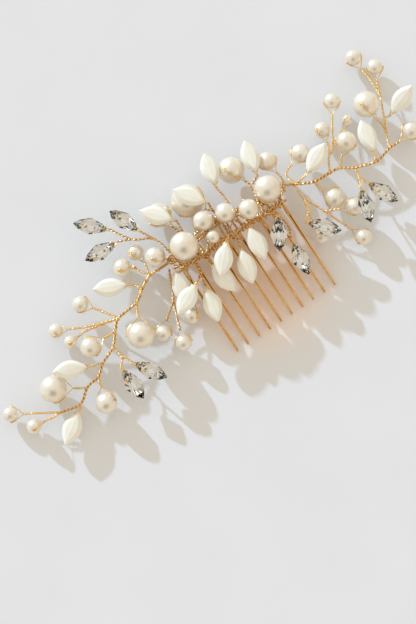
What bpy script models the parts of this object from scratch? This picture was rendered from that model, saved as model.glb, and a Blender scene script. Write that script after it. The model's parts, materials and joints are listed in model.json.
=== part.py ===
"""Decorative hair comb: a wire comb with two bendable vine arms of pearls, leaves and crystals.

Everything is set out in the comb's own frame: X runs along the spine, the teeth point to -Y,
+Z is the display side and Z = 0 is the surface that the comb lies on.  An empty then moves
that frame so that the world origin is under the middle of the whole ornament.
"""

import math

import bmesh
import bpy
from mathutils import Matrix, Vector

MM = 0.001

# wires and running gaps
CLEARANCE = 0.3 * MM
STRAND_D = 0.4 * MM  # one strand, as it goes through a bead
SPRIG_D = 0.8 * MM  # two strands twisted together
STEM_D = 1.1 * MM  # an arm's main stem, a bundle of sprigs
NECK_PEARL = 2.0 * MM  # from a pearl's skin to where its two strands start to twist
NECK_TIP = 1.4 * MM  # the same from a leaf's or a crystal's tip

# comb
TOOTH_COUNT = 10
TOOTH_PITCH = 4.85 * MM
TOOTH_LENGTH = 36.5 * MM  # spine to tip, along the tooth
TOOTH_WIRE_D = 0.75 * MM
TOOTH_LEG_GAP = 0.15 * MM  # between the two legs of one tooth
SPINE_D = 1.2 * MM
SPINE_OVERHANG = 1.6 * MM  # beyond the outermost legs
SPINE_HEIGHT = 8.0 * MM  # spine's centre above the surface
BINDING_TURN_STEPS = 10

# beads
LEAF_LENGTH = 13.0 * MM
LEAF_WIDTH = 6.9 * MM
LEAF_THICKNESS = 3.4 * MM
CRYSTAL_LENGTH = 12.6 * MM
CRYSTAL_WIDTH = 6.0 * MM
CRYSTAL_THICKNESS = 4.0 * MM
TIP_HOLE_INSET = 1.7 * MM  # from the tip to the middle of its hole
LEAF_TABLE = 0.45  # flat table on each face, as a share of the outline
LEAF_GIRDLE = 0.25  # straight edge round the outline, as a share of the thickness
CRYSTAL_TABLE = 0.4
CRYSTAL_GIRDLE = 0.12

# the arms leave the comb here, measured from the end of the spine
LEFT_ROOT_STEP = (-3.4, 5.0, -0.5)
RIGHT_ROOT_STEP = (3.5, 4.5, 0.0)
ROOT_KNOT_D = 1.5 * MM
TRUNK_ARCH = 0.5 * MM  # how far the trunk arches up on its way to an arm

# middle of the whole ornament in the comb's frame
ORNAMENT_MIDDLE = Vector((-9.66 * MM, 0.595 * MM, 0.0))

WIRE_SIDES = 6
STRAND_SIDES = 4
PEARL_SEGMENTS = 10
PEARL_ARC_STEPS = 6
OUTLINE_POINTS = 12

# Layout, in millimetres, for this tooth pitch and these stone lengths.  A row is: name, size, the
# sprig's way from its stem, where the bead sits and a turn in degrees about the sprig.  Pearls give
# a diameter and a centre; leaves and crystals give the wire end of the stone and the point that its
# far end aims at.
LAYOUT_PITCH = 4.85 * MM
LAYOUT_LEAF = 13.0 * MM
LAYOUT_CRYSTAL = 12.6 * MM
LEFT_STEM = [(0, 0, 0), (-6, 0, -0.5), (-11, -2.5, -0.5), (-15.5, -5.5, -0.5), (-24, -6.5, -1),
             (-27.5, -9.5, -1), (-31.5, -14, -1.5), (-38, -17, -1.5), (-42, -20, -2),
             (-47.5, -21, -2.5), (-53, -24.5, -3), (-60.5, -23, -3.5)]
LEFT_PEARLS = [
    ("left_pearl_1", 7, [(-6, 0, -0.5), (-9, 6, -1.5)], (-12.5, 8.5, -2.5), 60),
    ("left_pearl_2", 6, [(-24, -6.5, -1), (-29.5, 2, -2)], (-32.5, 6, -3), 0),
    ("left_pearl_3", 10, [(-15.5, -5.5, -0.5)], (-21, -16.5, 0.5), 0),
    ("left_pearl_4", 7.5, [(-27.5, -9.5, -1)], (-38.5, -9.5, -1.5), 0),
    ("left_pearl_5", 8, [(-42, -20, -2)], (-45, -29.5, -3), 30),
    ("left_pearl_6", 10, [(-47.5, -21, -2.5)], (-58, -14.5, -2.5), 0),
    ("left_pearl_7", 5.5, [(-60.5, -23, -3.5)], (-76, -13, -4.75), 0),
]
LEFT_LEAVES = [
    ("left_leaf_1", [(-11, -2.5, -0.5)], (-14.5, 2, -1.5), (-26, 7.5, -1.5), 0),
    ("left_leaf_2", [(-38, -17, -1.5)], (-43.4, -15, -0.9), (-55, -10, 2.2), 0),
    ("left_leaf_3", [(-53, -24.5, -3)], (-55, -26.5, -3.5), (-65.5, -33.5, -4), 0),
]
LEFT_CRYSTALS = [
    ("left_crystal_1", [(-31.5, -14, -1.5), (-31, -19, -1)], (-33.5, -23.5, -0.5), (-33, -35.5, -1.5), 0),
    ("left_crystal_2", [(-31, -19, -1)], (-28.5, -24, 0.5), (-21, -36, -0.5), 0),
]

RIGHT_STEM = [(0, 0, 0), (3, -1.5, -0.5), (9, -4.5, -1), (16, -5, -1.5), (20, -5.5, -2),
              (25, -8.5, -2), (32.5, -11, -2.5), (36.5, -10.5, -3), (40, -9.5, -3), (44, -9.5, -3.5)]
RIGHT_PEARLS = [
    ("right_pearl_1", 7, [(3, -1.5, -0.5), (2, 3, -0.5), (3.5, 4.5, -1)], (11.5, 7.5, -3), 0),
    ("right_pearl_2", 7.5, [(20, -5.5, -2), (23.5, -2, -2)], (28, 1.5, -2), 0),
    ("right_pearl_3", 6, [(16, -5, -1.5), (19, 0, -2), (22.5, 2.5, -2.5)], (33, 17.5, -4), 0),
    ("right_pearl_4", 10, [(42.5, -4, -3)], (42.5, 9, -2.5), 60),
    ("right_pearl_5", 6, [(40, -9.5, -3), (42.5, -4, -3), (45, 1, -3), (49, 9, -3.5)], (54, 19.5, -5), 0),
    ("right_pearl_6", 6, [(49, 9, -3.5)], (49.5, 27, -5), 0),
    ("right_pearl_7", 7, [(44, -9.5, -3.5)], (51, -8.5, -4.5), 0),
    ("right_pearl_8", 7.5, [(9, -4.5, -1), (10, -8.5, -1.5)], (12.5, -13.5, -4), 0),
    ("right_pearl_9", 6.5, [(6, -15.5, -2)], (16.5, -20.5, -2.5), 0),
    ("right_pearl_10", 6, [(2.4, -1.2, -0.4), (2, -4, -0.5), (2.5, -7.5, -1), (6, -15.5, -2),
                           (8.5, -21.5, -3)], (13, -31.5, -5), 0),
]
RIGHT_LEAVES = [
    ("right_leaf_1", [(3, -1.5, -0.5)], (9, -0.5, 0), (21, 5, 0), 0),
    ("right_leaf_2", [(32.5, -11, -2.5)], (34.2, -7.7, -1.6), (37, 5.5, -1.3), 0),
    ("right_leaf_3", [(45, 1, -3)], (48.5, 1, -3), (57, 3.5, 2.5), 0),
]
RIGHT_CRYSTALS = [
    ("right_crystal_1", [(2.5, -7.5, -1), (1, -12.5, 1)], (-2, -16.5, 2), (6, -25, 0.5), 0),
    ("right_crystal_2", [(25, -8.5, -2), (24, -11.5, -1.5)], (21, -17.5, 2.4), (17, -29.5, 1.4), 0),
    ("right_crystal_3", [(24, -11.5, -1.5)], (25.5, -16.5, -1.5), (30.5, -27.5, -2.5), 0),
]

# centre sprigs, from the middle of the trunk that lies on the spine
CENTRE_PEARLS = [
    ("centre_pearl_1", 7.5, [(-22, 0, 0)], (-28, 9, 0), 60),
    ("centre_pearl_2", 10.5, [(-21.5, 0, 0)], (-17.5, 5.5, 5), 0),
    ("centre_pearl_3", 9, [(-14.5, 0, 0), (-14.5, 8, -1.5)], (-17.5, 22.5, -6), 0),
    ("centre_pearl_4", 12.5, [(-1, 0, 0), (-0.5, 10, -0.5)], (-6, 20.5, -4.25), 0),
    ("centre_pearl_5", 7.5, [(-6, 0, 0)], (-6.5, 9.5, 3.5), 0),
    ("centre_pearl_6", 7.5, [(0, 0, 0)], (1.75, 7.5, 3.5), 0),
    ("centre_pearl_7", 7.5, [(9, 0, 0)], (9.5, 3.5, 4.5), 0),
    ("centre_pearl_8", 10, [(22, 0, 0)], (19.5, 6, 4), 0),
    ("centre_pearl_9", 10, [(14, 0, 0), (16, 11.5, -1.5)], (14, 21, -4.5), 60),
    ("centre_pearl_10", 7, [(25, 2.5, -1), (27, 7, -2)], (27, 16.5, -5.5), 0),
]
CENTRE_LEAVES = [
    ("centre_leaf_1", [(-14.5, 8, -1.5)], (-15, 16.5, 1), (-24.5, 27.5, 1), 0),
    ("centre_leaf_2", [(-0.5, 10, -0.5)], (-2, 14.5, 4.5), (-9.5, 25.5, 4.5), 0),
    ("centre_leaf_3", [(4.5, 0, 0), (5.5, 11.5, -0.5)], (5.5, 19, -1), (9.5, 33.5, -2.5), 0),
    ("centre_leaf_4", [(16, 11.5, -1.5)], (20.5, 14.5, -1), (24, 27.5, -2), 0),
    ("centre_leaf_5", [(-21.5, 0, 0)], (-25, 0.5, -0.8), (-27, -9.5, -3), 0),
    ("centre_leaf_6", [(-16.5, 0, 0), (-17.5, -5, 0)], (-21.5, -8, 1), (-33.5, -13.5, 0.5), 0),
    ("centre_leaf_7", [(-17.5, -5, 0)], (-19, -11, -1), (-22.5, -24, -2.5), 0),
    ("centre_leaf_8", [(-2.5, 0, 0)], (-4, -2, 4.5), (-12.5, -10.5, 3.5), 0),
    ("centre_leaf_9", [(-12, 0, 0)], (-12.5, -5, 0), (-11, -17.5, -1.5), 0),
    ("centre_leaf_10", [(-1, 0, 0), (0.5, -3, 1.5)], (-1, -7, 2), (-4.5, -20, -0.5), 0),
    ("centre_leaf_11", [(7.5, 0, 0)], (6, -2, 3), (4.5, -13.5, 1.5), 0),
]
CENTRE_CRYSTALS = [
    ("centre_crystal_1", [(-22, 0, 0), (-24, 14, -1), (-31, 19.5, -2)], (-36.5, 28, -2.5),
     (-45.5, 37, -2.5), 0),
    ("centre_crystal_2", [(-31, 19.5, -2)], (-37, 22, -3), (-50, 23, -3.5), 0),
    ("centre_crystal_3", [(-24, 14, -1)], (-27.5, 21, -0.5), (-32, 32.5, -0.5), 0),
    ("centre_crystal_4", [(13, 0, 0)], (17, -4.5, 2.5), (10.5, -15, 0), 0),
    ("centre_crystal_5", [(17.5, 0, 0), (18.5, -9, 0)], (16, -15.5, 0), (15, -27, -2.5), 0),
]

# worked out from the sizes above
LEG_STEP = TOOTH_WIRE_D + TOOTH_LEG_GAP
SPINE_HALF = (TOOTH_COUNT - 1) * TOOTH_PITCH / 2 + LEG_STEP / 2 + SPINE_OVERHANG
WRAP_STEP = math.radians(45)
SPINE_WRAP_R = (SPINE_D / 2 + CLEARANCE + TOOTH_WIRE_D / 2) / math.cos(WRAP_STEP / 2)
TOOTH_OUTER_R = SPINE_WRAP_R + TOOTH_WIRE_D / 2
TRUNK_RISE = TOOTH_OUTER_R + CLEARANCE + STEM_D / 2
BINDING_INNER_R = (TOOTH_OUTER_R + TRUNK_RISE + STEM_D / 2) / 2 + CLEARANCE
BINDING_R = BINDING_INNER_R + STRAND_D / 2
BINDING_RISE = (TRUNK_RISE + STEM_D / 2 - TOOTH_OUTER_R) / 2
TRUNK_HEIGHT = SPINE_HEIGHT + TRUNK_RISE


def root_point(side, step):
    """Where an arm leaves the comb: a step from the spine's end, at the spine's height."""
    return Vector((side * SPINE_HALF, 0.0, SPINE_HEIGHT)) + Vector(step) * MM


LEFT_ROOT = root_point(-1, LEFT_ROOT_STEP)
RIGHT_ROOT = root_point(1, RIGHT_ROOT_STEP)
CENTRE_ROOT = Vector((0.0, 0.0, TRUNK_HEIGHT))


def clear_scene():
    for obj in list(bpy.data.objects):
        bpy.data.objects.remove(obj)


def new_collection(name):
    collection = bpy.data.collections.new(name)
    bpy.context.scene.collection.children.link(collection)
    return collection


def new_material(name, colour, roughness, metallic, transmission=0.0):
    material = bpy.data.materials.new(name)
    material.use_nodes = True
    shader = material.node_tree.nodes["Principled BSDF"]
    shader.inputs["Base Color"].default_value = (*colour, 1.0)
    shader.inputs["Roughness"].default_value = roughness
    shader.inputs["Metallic"].default_value = metallic
    shader.inputs["Transmission Weight"].default_value = transmission
    return material


def points_from(root, row):
    """Turns layout points in millimetres into places in the comb's frame."""
    return [root + Vector(point) * MM for point in row]


def shifted(part, step):
    """A layout entry moved along the spine: a point, a list of points, or anything else as it is."""
    if isinstance(part, list):
        return [shifted(point, step) for point in part]
    if isinstance(part, tuple):
        return (part[0] + step, *part[1:])
    return part


def spread_rows(rows, steps):
    """Keeps each centre sprig, and all that branches off it, in its own gap between teeth."""
    spread = TOOTH_PITCH / LAYOUT_PITCH - 1
    moved = []
    for row in rows:
        way = next(part for part in row if isinstance(part, list))
        step = steps.setdefault(way[0], way[0][0] * spread)
        for point in way:
            steps.setdefault(point, step)
        moved.append(tuple(shifted(part, step) for part in row))
    return moved


def tube(points, diameter, closed=False, sides=WIRE_SIDES):
    """A wire as a mesh object: a bevelled poly curve with its caps welded."""
    data = bpy.data.curves.new("wire", "CURVE")
    data.dimensions = "3D"
    data.bevel_depth = diameter / 2
    data.bevel_resolution = (sides - 4) // 2
    data.use_fill_caps = True
    spline = data.splines.new("POLY")
    spline.points.add(len(points) - 1)
    for target, point in zip(spline.points, points):
        target.co = (*point, 1.0)
    spline.use_cyclic_u = closed
    curve = bpy.data.objects.new("wire", data)
    WORKSHOP.objects.link(curve)
    mesh = mesh_of(curve)
    bpy.data.objects.remove(curve)
    weld(mesh)
    return link_mesh("wire", mesh, WORKSHOP)


def mesh_of(obj):
    """The object's evaluated shape as a new mesh."""
    graph = bpy.context.evaluated_depsgraph_get()
    graph.update()
    return bpy.data.meshes.new_from_object(obj.evaluated_get(graph))


def weld(mesh):
    shape = bmesh.new()
    shape.from_mesh(mesh)
    bmesh.ops.remove_doubles(shape, verts=shape.verts, dist=0.001 * MM)
    bmesh.ops.recalc_face_normals(shape, faces=shape.faces)
    shape.to_mesh(mesh)
    shape.free()


def link_mesh(name, mesh, collection):
    obj = bpy.data.objects.new(name, mesh)
    collection.objects.link(obj)
    return obj


def join_wires(wires):
    """Unites overlapping wires into one solid with a single exact Boolean."""
    others = new_collection("other_wires")
    for wire in wires[1:]:
        WORKSHOP.objects.unlink(wire)
        others.objects.link(wire)
    join = wires[0].modifiers.new("join", "BOOLEAN")
    join.operation = "UNION"
    join.operand_type = "COLLECTION"
    join.collection = others
    join.solver = "EXACT"
    mesh = mesh_of(wires[0])
    for wire in wires:
        bpy.data.objects.remove(wire)
    bpy.data.collections.remove(others)
    weld(mesh)
    return link_mesh("wires", mesh, WORKSHOP)


def sprig_axes(start, end, turn):
    """Unit vectors along a sprig, across it, and through it after a turn about the sprig."""
    along = (end - start).normalized()
    across = Vector((0, 0, 1)).cross(along).normalized()
    through = along.cross(across)
    spin = Matrix.Rotation(math.radians(turn), 3, along)
    return along, spin @ across, spin @ through


def pearl_loop(centre, radius, along, bore):
    """The strand goes through the pearl and hugs it on both sides down to the neck."""
    hug = radius + CLEARANCE + STRAND_D / 2
    neck = radius + NECK_PEARL
    leave = math.acos(hug / neck)
    middle = (leave + math.pi / 2) / 2
    hug_out = hug / math.cos((math.pi / 2 - leave) / 4)
    one_side = [(-hug_out * math.cos(leave), hug_out * math.sin(leave)),
                (-hug_out * math.cos(middle), hug_out * math.sin(middle)),
                (-STRAND_D, hug),
                (0.0, hug - STRAND_D / 4)]
    other_side = [(x, -y) for x, y in reversed(one_side)]
    flat = [(-neck, 0.0)] + one_side + other_side
    return [centre + x * along + y * bore for x, y in flat]


def tip_loop(tip, spread, along, across):
    """The strand goes sideways through the hole in a stone's tip and closes beyond the tip."""
    wide = spread / 2 + CLEARANCE + STRAND_D / 2
    side = [(-NECK_TIP, 0.0), (0.0, 0.45 * wide), (0.6 * TIP_HOLE_INSET, 0.85 * wide),
            (TIP_HOLE_INSET - STRAND_D, wide), (TIP_HOLE_INSET, wide - STRAND_D / 2)]
    flat = side + [(x, -y) for x, y in reversed(side[1:])]
    return [tip + x * along + y * across for x, y in flat]


def tip_width(length, width):
    """How wide a stone is at its hole."""
    return width * (1 - (1 - 2 * TIP_HOLE_INSET / length) ** 2)


def sprig_wires(path, neck, loop, along):
    """Twisted sprig along its path to the neck, and the open loop that holds the bead."""
    sprig = tube(path + [neck + along * STRAND_D], SPRIG_D)
    return [sprig, tube(loop, STRAND_D, closed=True, sides=STRAND_SIDES)]


def pearl_mesh(diameter):
    """A drilled ball as a turned profile: down the skin, then back up the bore."""
    radius = diameter / 2
    bore = STRAND_D / 2 + CLEARANCE
    top = math.asin(bore / radius)
    step = (math.pi - 2 * top) / PEARL_ARC_STEPS
    shape = bmesh.new()
    rim = []
    for i in range(PEARL_ARC_STEPS + 1):
        angle = top + i * step
        rim.append(shape.verts.new((radius * math.sin(angle), 0.0, radius * math.cos(angle))))
    for first, second in zip(rim, rim[1:] + rim[:1]):
        shape.edges.new((first, second))
    mesh = bpy.data.meshes.new("pearl_profile")
    shape.to_mesh(mesh)
    shape.free()
    return mesh


def add_pearl(name, diameter, centre, bore_axis, parent, material):
    obj = link_mesh(name, pearl_mesh(diameter), COMB)
    turn = obj.modifiers.new("turn", "SCREW")
    turn.steps = PEARL_SEGMENTS
    turn.render_steps = PEARL_SEGMENTS
    turn.use_merge_vertices = True
    turn.merge_threshold = 0.001 * MM
    turn.use_smooth_shade = True
    obj.rotation_mode = "QUATERNION"
    obj.rotation_quaternion = Vector((0, 0, 1)).rotation_difference(bore_axis)
    obj.location = centre
    attach(obj, parent)
    obj.data.materials.append(material)
    return obj


def stone_mesh(length, width, thickness, table, girdle):
    """A pointed-oval stone along +X with its wire end at the origin, cut to a table on both faces."""
    bevel = (thickness - girdle) / 2
    shape = bmesh.new()
    bmesh.ops.create_cone(shape, cap_ends=True, segments=OUTLINE_POINTS, radius1=table, radius2=1.0,
                          depth=bevel)
    for rise, share in ((girdle, 1.0), (bevel, table)):
        shape.faces.ensure_lookup_table()
        top = max(shape.faces, key=lambda face: face.calc_center_median().z)
        top = bmesh.ops.extrude_discrete_faces(shape, faces=[top])["faces"][0]
        bmesh.ops.scale(shape, vec=(share, share, 1.0), verts=top.verts)
        bmesh.ops.translate(shape, vec=(0, 0, rise), verts=top.verts)
    for vert in shape.verts:
        reach = vert.co.xy.length
        pointed = 1.0 - (vert.co.x / reach) ** 2
        vert.co.y = math.copysign(pointed * reach, vert.co.y) if pointed > 1e-6 else 0.0
    bmesh.ops.scale(shape, vec=(length / 2, width / 2, 1.0), verts=shape.verts)
    bmesh.ops.translate(shape, vec=(length / 2, 0, -girdle / 2 - bevel / 2), verts=shape.verts)
    bmesh.ops.recalc_face_normals(shape, faces=shape.faces)
    mesh = bpy.data.meshes.new("stone")
    shape.to_mesh(mesh)
    shape.free()
    return mesh


def hole_cutter():
    """A pin from side to side through the place of the tip hole, longer than any stone is wide."""
    shape = bmesh.new()
    radius = STRAND_D / 2 + CLEARANCE
    depth = 2 * max(LEAF_WIDTH, CRYSTAL_WIDTH)
    bmesh.ops.create_cone(shape, cap_ends=True, segments=8, radius1=radius, radius2=radius, depth=depth)
    bmesh.ops.rotate(shape, matrix=Matrix.Rotation(math.pi / 2, 3, "X"), verts=shape.verts)
    bmesh.ops.translate(shape, vec=(TIP_HOLE_INSET, 0, 0), verts=shape.verts)
    mesh = bpy.data.meshes.new("tip_hole")
    shape.to_mesh(mesh)
    shape.free()
    cutter = link_mesh("tip_hole_cutter", mesh, CUTTERS)
    cutter.hide_render = True
    cutter.display_type = "WIRE"
    return cutter


def drilled(mesh):
    """The stone with its tip hole cut."""
    obj = link_mesh("blank", mesh, WORKSHOP)
    cut = obj.modifiers.new("tip_hole", "BOOLEAN")
    cut.operation = "DIFFERENCE"
    cut.object = HOLE_CUTTER
    cut.solver = "EXACT"
    result = mesh_of(obj)
    bpy.data.objects.remove(obj)
    return result


def add_stone(name, mesh, tip, along, across, through, parent, material):
    obj = link_mesh(name, mesh.copy(), COMB)
    obj.matrix_world = Matrix.Translation(tip) @ Matrix((along, across, through)).transposed().to_4x4()
    attach(obj, parent)
    obj.data.materials.append(material)
    return obj


def attach(obj, parent):
    """Parents an object that is already in place, without moving it."""
    bpy.context.view_layer.update()
    place = obj.matrix_world.copy()
    obj.parent = parent
    obj.matrix_parent_inverse = parent.matrix_world.inverted()
    obj.matrix_world = place


def build_pearls(rows, root, parent):
    """Threads each pearl on its sprig; gives back the sprigs' wires."""
    wires = []
    for name, size, way, seat, turn in rows:
        path = points_from(root, way)
        centre = root + Vector(seat) * MM
        along, bore, _ = sprig_axes(path[-1], centre, turn)
        radius = size * MM / 2
        neck = centre - along * (radius + NECK_PEARL)
        wires += sprig_wires(path, neck, pearl_loop(centre, radius, along, bore), along)
        add_pearl(name, size * MM, centre, bore, parent, PEARL)
    return wires


def build_stones(rows, root, parent, mesh, spread, growth, material):
    """Hangs each leaf or crystal on its sprig; gives back the sprigs' wires.

    A stone that is longer than the layout's by some growth keeps its middle in place.
    """
    wires = []
    for name, way, seat, aim, turn in rows:
        path = points_from(root, way)
        tip, far = points_from(root, (seat, aim))
        along, across, through = sprig_axes(tip, far, turn)
        tip -= along * growth / 2
        neck = tip - along * NECK_TIP
        wires += sprig_wires(path, neck, tip_loop(tip, spread, along, across), along)
        add_stone(name, mesh, tip, along, across, through, parent, material)
    return wires


def hang_beads(pearls, leaves, crystals, root, parent):
    """All the beads of one part of the vine, and their wires."""
    leaf_spread = tip_width(LEAF_LENGTH, LEAF_WIDTH)
    crystal_spread = tip_width(CRYSTAL_LENGTH, CRYSTAL_WIDTH)
    return (build_pearls(pearls, root, parent)
            + build_stones(leaves, root, parent, LEAF_MESH, leaf_spread,
                           LEAF_LENGTH - LAYOUT_LEAF, LEAF)
            + build_stones(crystals, root, parent, CRYSTAL_MESH, crystal_spread,
                           CRYSTAL_LENGTH - LAYOUT_CRYSTAL, GLASS))


def knot(centre):
    """The little ball of wrapped wire at a cut end of a stem."""
    shape = bmesh.new()
    bmesh.ops.create_icosphere(shape, subdivisions=1, radius=ROOT_KNOT_D / 2)
    bmesh.ops.translate(shape, vec=centre, verts=shape.verts)
    mesh = bpy.data.meshes.new("knot")
    shape.to_mesh(mesh)
    shape.free()
    return link_mesh("knot", mesh, WORKSHOP)


def build_arm(name, stem, pearls, leaves, crystals, root, pivot):
    """One vine arm: its stem, and every sprig and bead that rides on it."""
    start = points_from(root, stem)
    outward = (start[1] - start[0]).normalized()
    start[0] = root + outward * (ROOT_KNOT_D + CLEARANCE) / 2
    wires = [tube(start, STEM_D), knot(start[0])]
    wires += hang_beads(pearls, leaves, crystals, root, pivot)
    finish_wire(name, join_wires(wires), pivot)
    return outward


def trunk_points(left_outward, right_outward):
    """The centre trunk along the spine, with its ends turned to meet the two arms."""
    reach = (ROOT_KNOT_D + CLEARANCE) / 2
    left_end = LEFT_ROOT - left_outward * reach
    right_end = RIGHT_ROOT - right_outward * reach
    left_lie = Vector((-SPINE_HALF + SPINE_OVERHANG, 0, TRUNK_HEIGHT))
    right_lie = Vector((SPINE_HALF - SPINE_OVERHANG, 0, TRUNK_HEIGHT))
    return [left_end, left_end.lerp(left_lie, 0.5) + Vector((0, 0, TRUNK_ARCH)), left_lie,
            right_lie, right_end.lerp(right_lie, 0.5) + Vector((0, 0, TRUNK_ARCH)), right_end]


def build_centre(left_outward, right_outward, parent):
    trunk = trunk_points(left_outward, right_outward)
    steps = {}
    pearls, leaves, crystals = (spread_rows(rows, steps)
                                for rows in (CENTRE_PEARLS, CENTRE_LEAVES, CENTRE_CRYSTALS))
    wires = [tube(trunk, STEM_D), knot(trunk[0]), knot(trunk[-1])]
    wires += hang_beads(pearls, leaves, crystals, CENTRE_ROOT, parent)
    finish_wire("centre_vine_wire", join_wires(wires), parent)


def finish_wire(name, wire, parent):
    """Moves a workshop wire into the comb as a named, smooth, gold piece."""
    mesh = wire.data
    bpy.data.objects.remove(wire)
    mesh.shade_smooth()
    piece = link_mesh(name, mesh, COMB)
    attach(piece, parent)
    mesh.materials.append(GOLD)


def build_spine(parent):
    ends = [Vector((-SPINE_HALF, 0, SPINE_HEIGHT)), Vector((SPINE_HALF, 0, SPINE_HEIGHT))]
    finish_wire("comb_spine", tube(ends, SPINE_D), parent)


def tooth_leg(x, leg):
    """Points of one leg, from behind the spine, over its top and down to the bend at the tip."""
    points = []
    for step in range(-1, 5):
        angle = step * WRAP_STEP - WRAP_STEP / 3
        y = SPINE_WRAP_R * math.cos(angle)
        points.append(Vector((x, y, SPINE_HEIGHT + SPINE_WRAP_R * math.sin(angle))))
    return points + [points[-1] + leg - leg.normalized() * LEG_STEP / 2]


def build_teeth(parent):
    """One continuous wire: down to each tip and back, over the spine and on to the next tooth."""
    start_height = SPINE_HEIGHT + SPINE_WRAP_R * math.sin(WRAP_STEP / 3)
    drop = start_height - TOOTH_WIRE_D / 2
    length = TOOTH_LENGTH - SPINE_WRAP_R
    leg = Vector((0, -math.sqrt(length ** 2 - drop ** 2), -drop))
    route = []
    for i in range(TOOTH_COUNT):
        middle = (i - (TOOTH_COUNT - 1) / 2) * TOOTH_PITCH
        left = tooth_leg(middle - LEG_STEP / 2, leg)
        right = tooth_leg(middle + LEG_STEP / 2, leg)
        tip = (left[-1] + right[-1]) / 2 + leg.normalized() * LEG_STEP / 2
        shoulders = [left[-1].lerp(tip, 0.7) + Vector((-LEG_STEP / 8, 0, 0)),
                     right[-1].lerp(tip, 0.7) + Vector((LEG_STEP / 8, 0, 0))]
        route += left + shoulders + right[::-1]
    finish_wire("tooth_wire", tube(route, TOOTH_WIRE_D), parent)


def build_binding(parent):
    """Thin wire wound round spine and trunk, one turn in each gap between teeth."""
    turns = TOOTH_COUNT - 1
    points = []
    for i in range((turns - 1) * BINDING_TURN_STEPS + 1):
        angle = 2 * math.pi * i / BINDING_TURN_STEPS
        x = (i / BINDING_TURN_STEPS - (turns - 1) / 2) * TOOTH_PITCH
        y = -BINDING_R * math.cos(angle)
        z = SPINE_HEIGHT + BINDING_RISE + BINDING_R * math.sin(angle)
        points.append(Vector((x, y, z)))
    finish_wire("binding_wire", tube(points, STRAND_D, sides=STRAND_SIDES), parent)


def new_empty(name, place, parent=None):
    empty = bpy.data.objects.new(name, None)
    COMB.objects.link(empty)
    empty.location = place
    if parent:
        attach(empty, parent)
    bpy.context.view_layer.update()
    return empty


clear_scene()
COMB = new_collection("hair_comb")
CUTTERS = new_collection("cutters")
WORKSHOP = new_collection("workshop")

GOLD = new_material("gold_plated_wire", (0.86, 0.52, 0.20), 0.22, 1.0)
PEARL = new_material("imitation_pearl", (0.88, 0.83, 0.74), 0.18, 0.0)
LEAF = new_material("ivory_resin", (0.86, 0.84, 0.74), 0.35, 0.0)
GLASS = new_material("clear_crystal", (0.95, 0.96, 0.96), 0.02, 0.0, transmission=1.0)

HOLE_CUTTER = hole_cutter()
LEAF_MESH = drilled(stone_mesh(LEAF_LENGTH, LEAF_WIDTH, LEAF_THICKNESS, LEAF_TABLE,
                               LEAF_GIRDLE * LEAF_THICKNESS))
CRYSTAL_MESH = drilled(stone_mesh(CRYSTAL_LENGTH, CRYSTAL_WIDTH, CRYSTAL_THICKNESS, CRYSTAL_TABLE,
                                  CRYSTAL_GIRDLE * CRYSTAL_THICKNESS))

comb_frame = new_empty("comb_frame", Vector((0, 0, 0)))
left_pivot = new_empty("left_arm_pivot", LEFT_ROOT, comb_frame)
right_pivot = new_empty("right_arm_pivot", RIGHT_ROOT, comb_frame)

build_spine(comb_frame)
build_teeth(comb_frame)
build_binding(comb_frame)
left_way = build_arm("left_vine_wire", LEFT_STEM, LEFT_PEARLS, LEFT_LEAVES, LEFT_CRYSTALS,
                     LEFT_ROOT, left_pivot)
right_way = build_arm("right_vine_wire", RIGHT_STEM, RIGHT_PEARLS, RIGHT_LEAVES, RIGHT_CRYSTALS,
                      RIGHT_ROOT, right_pivot)
build_centre(left_way, right_way, comb_frame)

comb_frame.location = -ORNAMENT_MIDDLE
bpy.data.collections.remove(WORKSHOP)
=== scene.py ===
import json
import math
import random

import bmesh
import bpy
from mathutils import Matrix, Vector, kdtree


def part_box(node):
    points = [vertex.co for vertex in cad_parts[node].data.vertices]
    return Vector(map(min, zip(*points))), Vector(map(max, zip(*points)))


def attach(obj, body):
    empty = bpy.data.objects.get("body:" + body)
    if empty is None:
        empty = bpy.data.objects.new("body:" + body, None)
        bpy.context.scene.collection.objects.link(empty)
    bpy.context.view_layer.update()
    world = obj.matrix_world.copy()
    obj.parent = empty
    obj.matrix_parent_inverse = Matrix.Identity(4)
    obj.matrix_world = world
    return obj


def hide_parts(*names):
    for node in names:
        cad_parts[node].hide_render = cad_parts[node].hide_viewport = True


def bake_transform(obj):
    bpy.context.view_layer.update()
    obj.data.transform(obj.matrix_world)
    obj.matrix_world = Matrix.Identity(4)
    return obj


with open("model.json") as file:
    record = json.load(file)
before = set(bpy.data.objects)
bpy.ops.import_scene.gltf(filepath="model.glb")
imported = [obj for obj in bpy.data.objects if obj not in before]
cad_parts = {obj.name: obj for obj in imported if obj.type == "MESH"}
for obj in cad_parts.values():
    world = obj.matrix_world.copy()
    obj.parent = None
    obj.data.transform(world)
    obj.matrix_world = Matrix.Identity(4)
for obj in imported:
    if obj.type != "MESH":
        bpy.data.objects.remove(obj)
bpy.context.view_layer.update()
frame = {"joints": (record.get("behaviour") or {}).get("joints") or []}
print("frame loaded")

mm = 0.001
up = Vector((0, 0, 1))
joints = {joint["name"]: joint for joint in frame["joints"]}


def linear(hexColour):  # sRGB hex to the linear colour that shaders take
    channels = [int(hexColour[i:i + 2], 16) / 255 for i in (1, 3, 5)]
    return tuple(c / 12.92 if c < 0.04045 else ((c + 0.055) / 1.055) ** 2.4 for c in channels) + (1.0,)


def addNode(tree, kind, inputs=None, **settings):
    node = tree.nodes.new(kind)
    for name, value in settings.items():
        setattr(node, name, value)
    for name, value in (inputs or {}).items():
        if isinstance(value, bpy.types.NodeSocket):
            tree.links.new(value, node.inputs[name])
        else:
            node.inputs[name].default_value = value
    return node


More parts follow.
